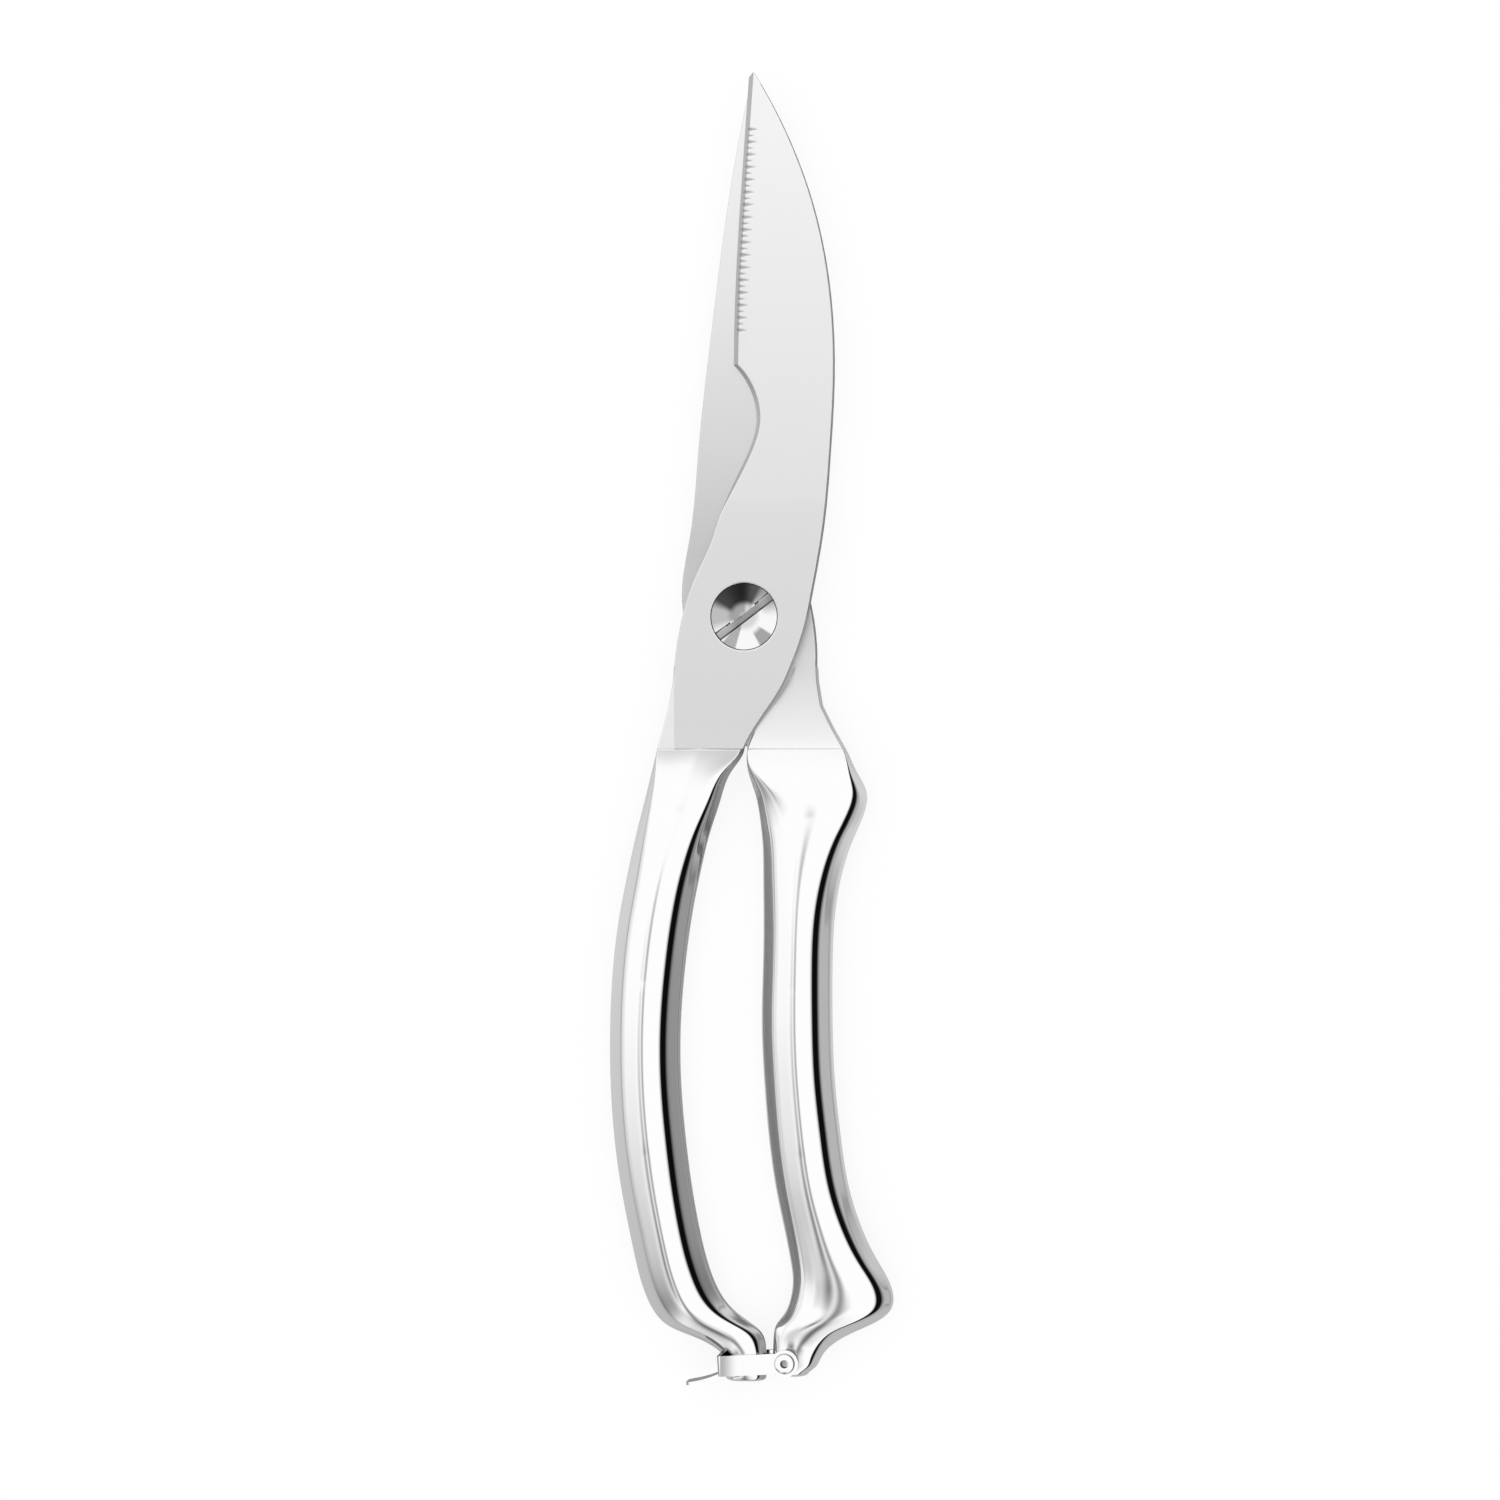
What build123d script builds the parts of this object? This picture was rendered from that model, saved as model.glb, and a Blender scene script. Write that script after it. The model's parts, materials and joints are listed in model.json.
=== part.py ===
from build123d import *
import os
from math import atan2, cos, degrees, pi, radians, sin, tan

# Kitchen shears lying on their back, drawn from the pivot axis: X to the right, Y towards the
# blade tips, Z up to the viewer. The front half carries the curved blade and the left handle,
# the rear half the straight blade and the right handle, and a latch ties the handle tips.
# Each half is drawn in its own frame, u towards the blade's back, v towards the tip and
# w outwards from the sliding faces, so the rear half is the front half turned over.

# Whole shears
blade_reach = 104.0        # pivot to the tip of the front blade
handle_reach = 146.0       # pivot to the end of the handle tips
left_spread = 26.7         # pivot line to the widest point of the left handle
right_spread = 28.8        # pivot line to the widest point of the right handle
plate_thickness = 3.0      # blade plates at the pivot
handle_depth = 10.4        # front to back, at the thickest
blade_gap = 0.1            # between the two sliding faces
running_play = 0.05        # radial and axial play of what turns
half_clearance = 0.45      # from one half's casting to the other half's plate
cut_overrun = 2.0          # how far a cut runs past what it cuts

# Blades
front_back_spread = 17.1   # pivot line to the widest point of the front blade's back
front_edge_spread = 2.5    # pivot line to the front cutting edge at the notch's corner
rear_back_spread = 12.3    # pivot line to the rear blade's back beside the pivot
rear_edge_spread = 11.2    # pivot line to the rear cutting edge beside the pivot
shoulder_spread = 13.4     # pivot line to the outer side of both plates below the pivot
seam_drop = 25.2           # pivot to the seam where a handle begins
blade_tip_thickness = 2.0
taper_start = 22.0         # height over the pivot where a blade begins to thin
edge_land = 0.25           # square foot left under the cutting bevel
bevel_width = 1.0          # ground bevel, seen from the front

# Teeth, grooves ground across the front blade's bevel
tooth_pitch = 2.4
tooth_run = 2.5            # from the cutting edge to where a groove runs out on the face
tooth_angle = 27.0         # slope of a groove's bottom, in degrees
tooth_flank_angle = 26.0   # half angle of a groove, in degrees
tooth_count = 17
fine_tooth_share = 0.6     # run of the small teeth between the main ones
first_tooth_share = 0.525  # share of the blade's reach at which the teeth begin

# Tangs, hidden in the handles
tang_root_share = 0.63     # middle of the tang's root, as a share of the shoulder's spread
tang_width = 6.6
tang_end_width = 5.4
tang_thickness = 1.8
tang_length = 30.0
tang_hole_diameter = 2.6
tang_hole_shares = (0.40, 0.78)
left_tang_lean = 8.1       # how far the tang leans out along its length
right_tang_lean = 2.3

# Pivot
head_diameter = 12.6
head_thickness = 1.0
head_dish = 0.35           # depth of the shallow cone turned into the head
slot_width = 1.1
slot_depth = 0.75
slot_flare = 0.35          # how far each wall of the slot leans out at its mouth
slot_angle = 37.0          # turn of the slot from the X axis, in degrees
head_play = 0.15           # radial gap round the sunk head
washer_thickness = 0.25
barrel_diameter = 6.4
barrel_flat = 0.6          # depth of the flat that keys the barrel in the rear plate
screw_diameter = 4.0
thread_play = 0.01
nut_diameter = 11.0
nut_thickness = 1.0

# Return spring, in a round recess between the plates
spring_wire = 0.8
spring_radius = 7.4        # to the middle of the wire
spring_turns = 1.25
spring_coil_gap = 0.1
spring_leg = 5.4
spring_start = 200.0       # angle at which the lower leg leaves the coil, in degrees
spring_play = 0.08         # over the upper leg and under the lower one
spring_side_play = 0.35

# Latch on the handle tips
rivet_offset = 7.9         # right of the pivot line
rivet_rise = 3.7           # over the end of the handle tips
tip_thickness = 5.6
tip_gap = 1.1              # between the two tips when latched
left_tip_face = 4.0        # pivot line to the inner face of the left tip
left_tip_share = 0.0695    # length of the left tip, as a share of the run from the seam
tip_corner = 1.2
strap_thickness = 0.8
strap_height = 3.9
strap_play = 0.2           # between a tip and the strap's arms
strap_reach = 12.25        # rivet to the inside of the strap's bridge
strap_tilt = 3.5           # drop of the strap to the left, in degrees
strap_bend = 1.0           # outer radius of the strap's bends
eye_diameter = 4.8
swing_play = 0.3           # between the bridge and the tip that it swings round
tab_length = 6.4
tab_drop = 1.5
tab_sag = 0.35
tab_thickness = 0.6
tab_width = 6.0
tab_corner = 1.5
rivet_diameter = 2.8
rivet_bore = 1.6
rivet_head_diameter = 4.0
rivet_head_thickness = 0.5
rivet_round_shares = (0.75, 0.33)  # bulge of the head's rounding, out and down from its top
latch_washer_diameter = 5.2
latch_washer_thickness = 0.4

plate_top = blade_gap / 2 + plate_thickness
half_depth = handle_depth / 2

# Outlines of the plates from the tip down, as shares of the spread and of the blade's reach
front_back_shares = [
    (0.099, 1.000), (0.550, 0.856), (0.825, 0.718), (0.965, 0.581), (1.000, 0.443),
    (0.959, 0.306), (0.883, 0.167), (0.737, 0.030),
]
front_edge_shares = [(0.240, 0.993), (-0.120, 0.870), (-0.760, 0.626), (-0.920, 0.463)]
notch_shares = [
    (-0.920, 0.463), (0.440, 0.413), (0.840, 0.361), (0.160, 0.301), (-1.240, 0.230),
    (-2.680, 0.129), (-4.000, 0.060), (-4.840, -0.009),
]
rear_back_shares = [
    (-0.081, 0.988), (0.309, 0.739), (0.569, 0.500), (0.748, 0.306), (0.878, 0.150),
    (1.000, 0.020),
]
rear_edge_shares = [
    (-0.150, 0.985), (-0.240, 0.770), (-0.400, 0.480), (-0.660, 0.240), (-0.890, 0.115),
    (-1.120, 0.010),
]

# Side of a plate where the halves cross, from beside the pivot down to the seam, as shares of
# the shoulder's spread and of the seam's drop
crossing_shares = [
    (0.866, -0.063), (0.672, -0.361), (0.530, -0.528), (0.261, -0.746), (-0.022, -1.000),
]

# How much of the bevel's width each point of a cutting side has
edge_bevel_shares = (1.0, 1.0, 1.0, 0.9)
notch_bevel_shares = (0.9, 1.0, 1.0, 1.0, 0.8, -0.15)
rear_bevel_shares = (1.0, 1.0, 1.0, 1.0, 0.5, -0.15)

# Stations down the neck, beside the plate: how far down to the seam, the inner side, and the
# depth inwards. Places are shares of the shoulder's spread and of the seam's drop, and depths
# shares of half the handle's depth. Outwards a neck is as deep as the plate.
neck_shares = [
    (0.380, -0.402, 0.03), (0.490, -0.350, 0.11), (0.675, -0.246, 0.28), (0.853, -0.119, 0.42),
    (1.000, -0.022, 0.54),
]
left_neck_outer_shares = (-1.026, -1.040, -1.108, -1.195, -1.275)
right_neck_outer_shares = (-1.026, -1.040, -1.101, -1.272, -1.433)

# Stations down each grip: outer point and inner point, as shares of the handle's spread and of
# the run from the seam to the end, then the depth outwards and inwards as shares of half the
# handle's depth, then how far the flat neck has turned into the full grip
left_grip_shares = [
    (-0.683, 0.036, -0.105, 0.036, 0.63, 0.69, 0.20),
    (-0.736, 0.081, -0.182, 0.081, 0.73, 0.81, 0.45),
    (-0.806, 0.139, -0.256, 0.135, 0.86, 0.92, 0.75),
    (-0.864, 0.193, -0.311, 0.189, 0.96, 0.98, 0.95),
    (-0.924, 0.259, -0.370, 0.255, 1.00, 1.00, 1.00),
    (-0.972, 0.338, -0.425, 0.342, 1.00, 1.00, 1.00),
    (-0.999, 0.433, -0.458, 0.435, 1.00, 1.00, 1.00),
    (-0.997, 0.524, -0.458, 0.520, 1.00, 1.00, 1.00),
    (-0.964, 0.623, -0.424, 0.615, 1.00, 1.00, 1.00),
    (-0.911, 0.705, -0.378, 0.694, 1.00, 1.00, 1.00),
    (-0.836, 0.788, -0.316, 0.768, 1.00, 1.00, 1.00),
    (-0.755, 0.858, -0.242, 0.828, 0.98, 0.98, 1.00),
    (-0.610, 0.911, -0.094, 0.885, 0.90, 0.90, 0.95),
    (-0.453, 0.928, 0.056, 0.911, 0.76, 0.76, 0.85),
    (-0.255, 0.947, 0.148, 0.935, 0.64, 0.64, 0.60),
]
right_grip_shares = [
    (-0.740, 0.036, -0.017, 0.038, 0.65, 0.72, 0.20),
    (-0.812, 0.070, -0.061, 0.075, 0.79, 0.87, 0.45),
    (-0.797, 0.104, -0.083, 0.112, 0.93, 0.96, 0.75),
    (-0.729, 0.142, -0.100, 0.151, 0.99, 1.00, 0.95),
    (-0.656, 0.194, -0.104, 0.202, 1.00, 1.00, 1.00),
    (-0.608, 0.258, -0.106, 0.263, 1.00, 1.00, 1.00),
    (-0.590, 0.341, -0.102, 0.341, 1.00, 1.00, 1.00),
    (-0.590, 0.432, -0.094, 0.432, 1.00, 1.00, 1.00),
    (-0.604, 0.520, -0.109, 0.520, 1.00, 1.00, 1.00),
    (-0.642, 0.608, -0.140, 0.611, 1.00, 1.00, 1.00),
    (-0.701, 0.695, -0.191, 0.698, 1.00, 1.00, 1.00),
    (-0.794, 0.763, -0.249, 0.764, 1.00, 1.00, 1.00),
    (-0.893, 0.810, -0.289, 0.813, 1.00, 1.00, 1.00),
    (-0.990, 0.853, -0.301, 0.848, 0.98, 0.98, 1.00),
    (-0.969, 0.889, -0.277, 0.878, 0.95, 0.95, 1.00),
    (-0.809, 0.914, -0.233, 0.898, 0.88, 0.88, 0.95),
    (-0.653, 0.932, -0.184, 0.918, 0.76, 0.76, 0.85),
    (-0.549, 0.950, -0.177, 0.939, 0.64, 0.64, 0.75),
]
# Section of a handle, where it is still flat like the plate and where it is the full grip
flat_flank = 0.3           # width of a flank, seen from the front
grip_flank = 3.3
flat_brow_share = 0.93     # height of the flank's upper edge, as a share of the section's
grip_brow_share = 0.70
flat_corner = 0.3          # rounding of the section's edges
grip_corner = 1.1          # rounding of the grip along its parting lines
brow_radius = 6.5          # rounding between the grip's flanks and its crown
ridge_radius = 4.0         # rounding of the ridge down the middle of a handle

# Outline of the right tip, from its inner corner, as shares of its own width and length
right_tip_width = 10.5
right_tip_share = 0.0662   # length, as a share of the run from the seam
right_tip_rise = 0.8       # how far the right tip ends above the left one
right_tip_shares = [
    (0.0, 0.0), (0.0, -0.94), (0.42, -1.0), (0.73, -0.90), (0.93, -0.42), (1.0, 0.0),
]


def half_plane(side, height=0.0):
    """Sheet parallel to the sliding faces of one half, at a height outwards from the middle."""
    return Plane(origin=(0, 0, side * height), x_dir=(side, 0, 0), z_dir=(0, 0, side))


def scaled(shares, width, length):
    """Points written as shares of a width and a length, as real places."""
    return [(width * u, length * v) for u, v in shares]


def mixed(flat, grip, turn):
    """A value on its way from the flat plate's to the full grip's."""
    return flat + (grip - flat) * turn


def plate_face(back, cutting_runs):
    """Face of a plate: back and crossing side, seam, shoulder, then the cutting side."""
    crossing = scaled(crossing_shares, shoulder_spread, seam_drop)
    seam_corner = (-shoulder_spread, -seam_drop)
    shoulder = (-shoulder_spread, crossing[1][1])
    with BuildSketch() as face:
        with BuildLine():
            Spline(*back, *crossing)
            Polyline(crossing[-1], seam_corner, shoulder)
            runs = cutting_runs[:-1] + [cutting_runs[-1] + [shoulder]]
            for run in runs:
                Spline(*run)
            Line(runs[0][0], back[0])
        make_face()
    return face.sketch


def outer_height(v):
    """Height of a plate's outer face over its sliding face, at a place along the blade."""
    run = max(v - taper_start, 0) / (blade_reach - taper_start)
    return plate_thickness - run * (plate_thickness - blade_tip_thickness)


def bevel_face(runs, run_widths, height):
    """All that the cutting bevel takes away at one height, on the open side of the edge."""
    curves = []
    for points, width_shares in zip(runs, run_widths):
        curve = []
        for (u, v), width_share in zip(points, width_shares):
            slope = bevel_width * width_share / (outer_height(v) - edge_land)
            curve.append((u + slope * (height - edge_land), v))
        curves.append(curve)
    far = -shoulder_spread - cut_overrun
    top = blade_reach + cut_overrun
    first, last = curves[0][0], curves[-1][-1]
    with BuildSketch() as face:
        with BuildLine():
            for curve in curves:
                Spline(*curve)
            Polyline(last, (far, last[1]), (far, top), (first[0], top), first)
        make_face()
    return face.sketch


def tang_face(lean):
    """Tang that narrows and leans out into the handle, with its anchor holes."""
    middle = -tang_root_share * shoulder_spread
    end = middle - lean
    foot = -seam_drop - tang_length
    with BuildSketch() as face:
        with BuildLine():
            Polyline(
                (middle - tang_width / 2, -seam_drop), (middle + tang_width / 2, -seam_drop),
                (end + tang_end_width / 2, foot), (end - tang_end_width / 2, foot), close=True,
            )
        make_face()
        holes = [(middle - lean * s, -seam_drop - tang_length * s) for s in tang_hole_shares]
        with Locations(*holes):
            Circle(tang_hole_diameter / 2, mode=Mode.SUBTRACT)
    return face.sketch


def blade_plate(side, back, runs, bevel_runs, bevel_widths, tang_lean):
    """One blade with its tang: a plate that thins to the tip, with the cutting bevel ground on."""
    foot = blade_gap / 2
    below, above = -cut_overrun, plate_thickness + cut_overrun
    with BuildPart() as plate:
        with BuildSketch(half_plane(side, foot)):
            add(plate_face(back, runs))
        extrude(amount=plate_thickness)
        with BuildSketch(Plane(origin=(0, 0, side * foot), x_dir=(0, 1, 0), z_dir=(side, 0, 0))):
            with BuildLine():
                end = blade_reach + cut_overrun
                Polyline(
                    (taper_start, plate_thickness), (end, outer_height(end)),
                    (end, above), (taper_start, above), close=True,
                )
            make_face()
        extrude(amount=front_back_spread + cut_overrun, both=True, mode=Mode.SUBTRACT)
        for height in (below, above):
            with BuildSketch(half_plane(side, foot + height)):
                add(bevel_face(bevel_runs, bevel_widths, height))
        loft(ruled=True, mode=Mode.SUBTRACT)
        with BuildSketch(half_plane(side, foot + (plate_thickness - tang_thickness) / 2)):
            add(tang_face(tang_lean))
        extrude(amount=tang_thickness)
    return plate


def tooth_plane(v, run):
    """Sheet square to a tooth's groove, where the groove runs out on the front face."""
    (u_top, v_top), (u_low, v_low) = front_edge[0], front_edge[-1]
    u_edge = u_low + (u_top - u_low) * (v - v_low) / (v_top - v_low)
    slope = radians(tooth_angle)
    origin = (u_edge + run, v, blade_gap / 2 + outer_height(v))
    return Plane(origin=origin, x_dir=(0, 1, 0), z_dir=(-cos(slope), 0, -sin(slope)))


def neck_stations(outer_shares):
    """Outer and inner point, depth outwards and inwards, and turn of each neck station."""
    stations = []
    for outer, (drop, inner, depth) in zip(outer_shares, neck_shares):
        v = -drop * seam_drop
        points = (outer * shoulder_spread, v), (inner * shoulder_spread, v)
        stations.append((*points, plate_top, depth * half_depth, 0))
    return stations


def grip_stations(shares, spread):
    """Outer and inner point, depth outwards and inwards, and turn of each grip station."""
    run = handle_reach - seam_drop
    stations = []
    for outer, outer_drop, inner, inner_drop, outwards, inwards, turn in shares:
        outer_point = (outer * spread, -seam_drop - outer_drop * run)
        inner_point = (inner * spread, -seam_drop - inner_drop * run)
        top = max(outwards * half_depth, plate_top)
        stations.append((outer_point, inner_point, top, inwards * half_depth, turn))
    return stations


def section_face(side, station):
    """Section of a handle: two flanks that meet at the parting line, and a soft ridge."""
    (u_out, v_out), (u_in, v_in), top, depth, turn = station
    inner = Vector(side * u_in, v_in)
    across = Vector(side * u_out, v_out) - inner
    width = across.length
    bottom = -depth
    middle, half = (top + bottom) / 2, (top - bottom) / 2
    flank = mixed(flat_flank, grip_flank, turn)
    brow = half * mixed(flat_brow_share, grip_brow_share, turn)
    corner = mixed(flat_corner, grip_corner, turn)
    brow_corner = mixed(flat_corner, brow_radius, turn)
    crown_slope = atan2(half - brow, width / 2 - flank)
    lift = ridge_radius * (1 / cos(crown_slope) - 1)
    top, bottom = top + lift, bottom - lift
    radii = [corner, brow_corner, ridge_radius, brow_corner] * 2
    plane = Plane(origin=inner, x_dir=across, z_dir=across.cross(Vector(0, 0, side)))
    with BuildSketch(plane) as section:
        with BuildLine():
            FilletPolyline(
                (0, middle), (flank, middle + brow), (width / 2, top), (width - flank, middle + brow),
                (width, middle), (width - flank, middle - brow), (width / 2, bottom),
                (flank, middle - brow),
                radius=radii, close=True,
            )
        make_face()
    return section.sketch


def relief_face():
    """Room that a handle's casting leaves beside the other half's plate, above the seam."""
    crossing = [(u + half_clearance, v) for u, v in scaled(crossing_shares, shoulder_spread, seam_drop)]
    far = -shoulder_spread - cut_overrun
    with BuildSketch() as face:
        with BuildLine():
            Spline(*crossing)
            Polyline(
                crossing[-1], (far, crossing[-1][1]), (far, cut_overrun),
                (crossing[0][0], cut_overrun), crossing[0],
            )
        make_face()
    return face.sketch


def handle(side, neck, grip_run, tip, plate):
    """One cast handle: lofted down its stations, with a flat tip, and cast round its tang."""
    neck_sections = [section_face(side, station) for station in neck]
    grip_sections = [section_face(side, station) for station in neck[-1:] + grip_run]
    with BuildPart() as grip:
        loft(neck_sections, ruled=True)
        loft(grip_sections)
        with BuildSketch(Plane.XY.offset(-tip_thickness / 2)):
            add(tip)
        extrude(amount=tip_thickness)
        with BuildSketch(half_plane(-side, -blade_gap / 2)):
            add(relief_face())
        extrude(amount=handle_depth, mode=Mode.SUBTRACT)
        add(plate, mode=Mode.SUBTRACT)
    return grip


def keyed_circle(radius):
    """Round of the pivot's barrel with the flat that keys it in the rear plate."""
    with BuildSketch() as keyed:
        Circle(radius)
        with Locations((radius - barrel_flat, 0)):
            Rectangle(radius, 2 * radius, align=(Align.MIN, Align.CENTER), mode=Mode.SUBTRACT)
    return keyed.sketch


# Places worked out from the sizes above
head_floor = plate_top - head_thickness
washer_floor = head_floor - washer_thickness
sink_depth = head_thickness + washer_thickness + running_play
spring_pitch = spring_wire + spring_coil_gap
spring_rise = spring_turns * spring_pitch
leg_drift = spring_leg * spring_pitch / (2 * pi * spring_radius)
spring_height = spring_rise + 2 * leg_drift + spring_wire
recess_depth = (spring_height + 2 * spring_play - blade_gap) / 2
recess_radius = spring_radius + spring_wire / 2 + spring_side_play
rivet_drop = handle_reach - rivet_rise
arm_inside = tip_thickness / 2 + strap_play
arm_outside = arm_inside + strap_thickness
right_tip_face = left_tip_face + tip_gap
left_tip_length = left_tip_share * (handle_reach - seam_drop)
right_tip_length = right_tip_share * (handle_reach - seam_drop)

front_back = scaled(front_back_shares, front_back_spread, blade_reach)
front_edge = scaled(front_edge_shares, front_edge_spread, blade_reach)
notch = scaled(notch_shares, front_edge_spread, blade_reach)
rear_back = scaled(rear_back_shares, rear_back_spread, blade_reach)
rear_edge = scaled(rear_edge_shares, rear_edge_spread, blade_reach)

# Return spring: a helical coil round the barrel, with a straight leg at each end
coil_plane = Plane(
    origin=(0, 0, -spring_rise / 2),
    x_dir=(cos(radians(spring_start)), sin(radians(spring_start)), 0),
    z_dir=(0, 0, 1),
)
with BuildPart() as return_spring:
    with BuildLine(coil_plane) as coil:
        turns = Helix(pitch=spring_pitch, height=spring_rise, radius=spring_radius)
    with BuildLine() as wire_path:
        add(coil.line)
        Line(turns @ 0 - (turns % 0) * spring_leg, turns @ 0)
        Line(turns @ 1, turns @ 1 + (turns % 1) * spring_leg)
    lower_leg_end = turns @ 0 - (turns % 0) * spring_leg
    upper_leg_end = turns @ 1 + (turns % 1) * spring_leg
    with BuildSketch(Plane(origin=lower_leg_end, z_dir=turns % 0)):
        Circle(spring_wire / 2)
    sweep(path=wire_path.wires()[0])


def leg_slot(side, start, end):
    """Slot for one leg of the spring, in the frame of the half that it pushes."""
    foot, tip = Vector(side * start.X, start.Y), Vector(side * end.X, end.Y)
    middle, turn = (foot + tip) / 2, degrees(atan2(tip.Y - foot.Y, tip.X - foot.X))
    with BuildSketch() as slot:
        with Locations(middle):
            SlotCenterToCenter((tip - foot).length, spring_wire + 2 * spring_play, rotation=turn)
    return slot.sketch


# Blades
with BuildPart() as front_blade:
    add(blade_plate(
        1, front_back, [front_edge, notch], [front_edge, notch[:len(notch_bevel_shares)]],
        [edge_bevel_shares, notch_bevel_shares], left_tang_lean,
    ).part)
    with BuildSketch(half_plane(1, blade_gap / 2)):
        Circle(recess_radius)
        add(leg_slot(1, turns @ 1, upper_leg_end))
    extrude(amount=recess_depth, mode=Mode.SUBTRACT)
    with BuildSketch(half_plane(1, blade_gap / 2)):
        Circle(barrel_diameter / 2 + running_play)
    extrude(amount=plate_thickness, mode=Mode.SUBTRACT)
    with BuildSketch(half_plane(1, plate_top)):
        Circle(head_diameter / 2 + head_play)
    extrude(amount=-sink_depth, mode=Mode.SUBTRACT)
    start = first_tooth_share * blade_reach
    main_teeth = [(start + i * tooth_pitch, tooth_run) for i in range(tooth_count)]
    fine_run = bevel_width + (tooth_run - bevel_width) * fine_tooth_share
    fine_teeth = [(v + tooth_pitch / 2, fine_run) for v, run in main_teeth[:-1]]
    mouth = cut_overrun * tan(radians(tooth_flank_angle))
    for v, run in main_teeth + fine_teeth:
        with BuildSketch(tooth_plane(v, run)):
            with BuildLine():
                Polyline((0, 0), (mouth, -cut_overrun), (-mouth, -cut_overrun), close=True)
            make_face()
    extrude(amount=tooth_run + cut_overrun, mode=Mode.SUBTRACT)
front_blade.part.label = "front_blade"

with BuildPart() as rear_blade:
    add(blade_plate(
        -1, rear_back, [rear_edge], [rear_edge], [rear_bevel_shares], right_tang_lean,
    ).part)
    with BuildSketch(half_plane(-1, blade_gap / 2)):
        Circle(recess_radius)
        add(leg_slot(-1, turns @ 0, lower_leg_end))
    extrude(amount=recess_depth, mode=Mode.SUBTRACT)
    with BuildSketch(Plane.XY.offset(-plate_top)):
        add(keyed_circle(barrel_diameter / 2))
    extrude(amount=plate_thickness, mode=Mode.SUBTRACT)
    with BuildSketch(half_plane(-1, plate_top)):
        Circle(nut_diameter / 2)
    extrude(amount=-nut_thickness, mode=Mode.SUBTRACT)
rear_blade.part.label = "rear_blade"

# Handles
with BuildSketch() as left_tip:
    with Locations((left_tip_face, -handle_reach)):
        Rectangle(strap_reach, left_tip_length, align=(Align.MAX, Align.MIN))
    with Locations((rivet_offset, -rivet_drop)):
        Circle(strap_reach - swing_play, mode=Mode.INTERSECT)
    fillet(left_tip.vertices().group_by(Axis.Y)[0], radius=tip_corner)
left_handle = handle(
    1, neck_stations(left_neck_outer_shares), grip_stations(left_grip_shares, left_spread),
    left_tip.sketch, front_blade.part,
)
left_handle.part.label = "left_handle"

tip_top = right_tip_length + right_tip_rise - handle_reach
with BuildSketch() as right_tip:
    with BuildLine():
        corners = [
            (right_tip_face + u, tip_top + v)
            for u, v in scaled(right_tip_shares, right_tip_width, right_tip_length)
        ]
        Polyline(*corners, close=True)
    make_face()
    fillet(right_tip.vertices().group_by(Axis.Y)[:-1], radius=tip_corner)
    with Locations((rivet_offset, -rivet_drop)):
        Circle(rivet_diameter / 2, mode=Mode.SUBTRACT)
right_handle = handle(
    -1, neck_stations(right_neck_outer_shares), grip_stations(right_grip_shares, right_spread),
    right_tip.sketch, rear_blade.part,
)
right_handle.part.label = "right_handle"

# Pivot: a slotted screw in a keyed barrel nut, both heads sunk flush, and a washer
with BuildPart() as pivot_screw:
    with BuildSketch(Plane.XZ):
        with BuildLine():
            Polyline(
                (0, plate_top - head_dish), (head_diameter / 2, plate_top),
                (head_diameter / 2, head_floor), (screw_diameter / 2, head_floor),
                (screw_diameter / 2, -plate_top), (0, -plate_top), close=True,
            )
        make_face()
    revolve(axis=Axis.Z)
    along = radians(slot_angle)
    with BuildSketch(Plane(
        origin=(0, 0, plate_top), x_dir=(-sin(along), cos(along), 0),
        z_dir=(cos(along), sin(along), 0),
    )):
        with BuildLine():
            half_floor, half_mouth = slot_width / 2, slot_width / 2 + slot_flare
            Polyline(
                (-half_floor, -slot_depth), (half_floor, -slot_depth), (half_mouth, 0),
                (-half_mouth, 0), close=True,
            )
        make_face()
    extrude(amount=head_diameter, both=True, mode=Mode.SUBTRACT)
pivot_screw.part.label = "pivot_screw"

with BuildPart() as pivot_nut:
    with BuildSketch(Plane.XY.offset(-plate_top)):
        Circle(nut_diameter / 2)
    extrude(amount=nut_thickness)
    with BuildSketch(Plane.XY.offset(-plate_top)):
        add(keyed_circle(barrel_diameter / 2))
    extrude(amount=plate_thickness)
    with BuildSketch(Plane.XY.offset(-blade_gap / 2)):
        Circle(barrel_diameter / 2)
    extrude(amount=head_floor + blade_gap / 2)
    with BuildSketch(Plane.XY.offset(-plate_top)):
        Circle(screw_diameter / 2 + thread_play)
    extrude(amount=plate_top + head_floor, mode=Mode.SUBTRACT)
pivot_nut.part.label = "pivot_nut"

with BuildPart() as pivot_washer:
    with BuildSketch(Plane.XY.offset(washer_floor)):
        Circle(head_diameter / 2)
        Circle(barrel_diameter / 2 + running_play, mode=Mode.SUBTRACT)
    extrude(amount=washer_thickness)
pivot_washer.part.label = "pivot_washer"
return_spring.part.label = "return_spring"

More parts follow.
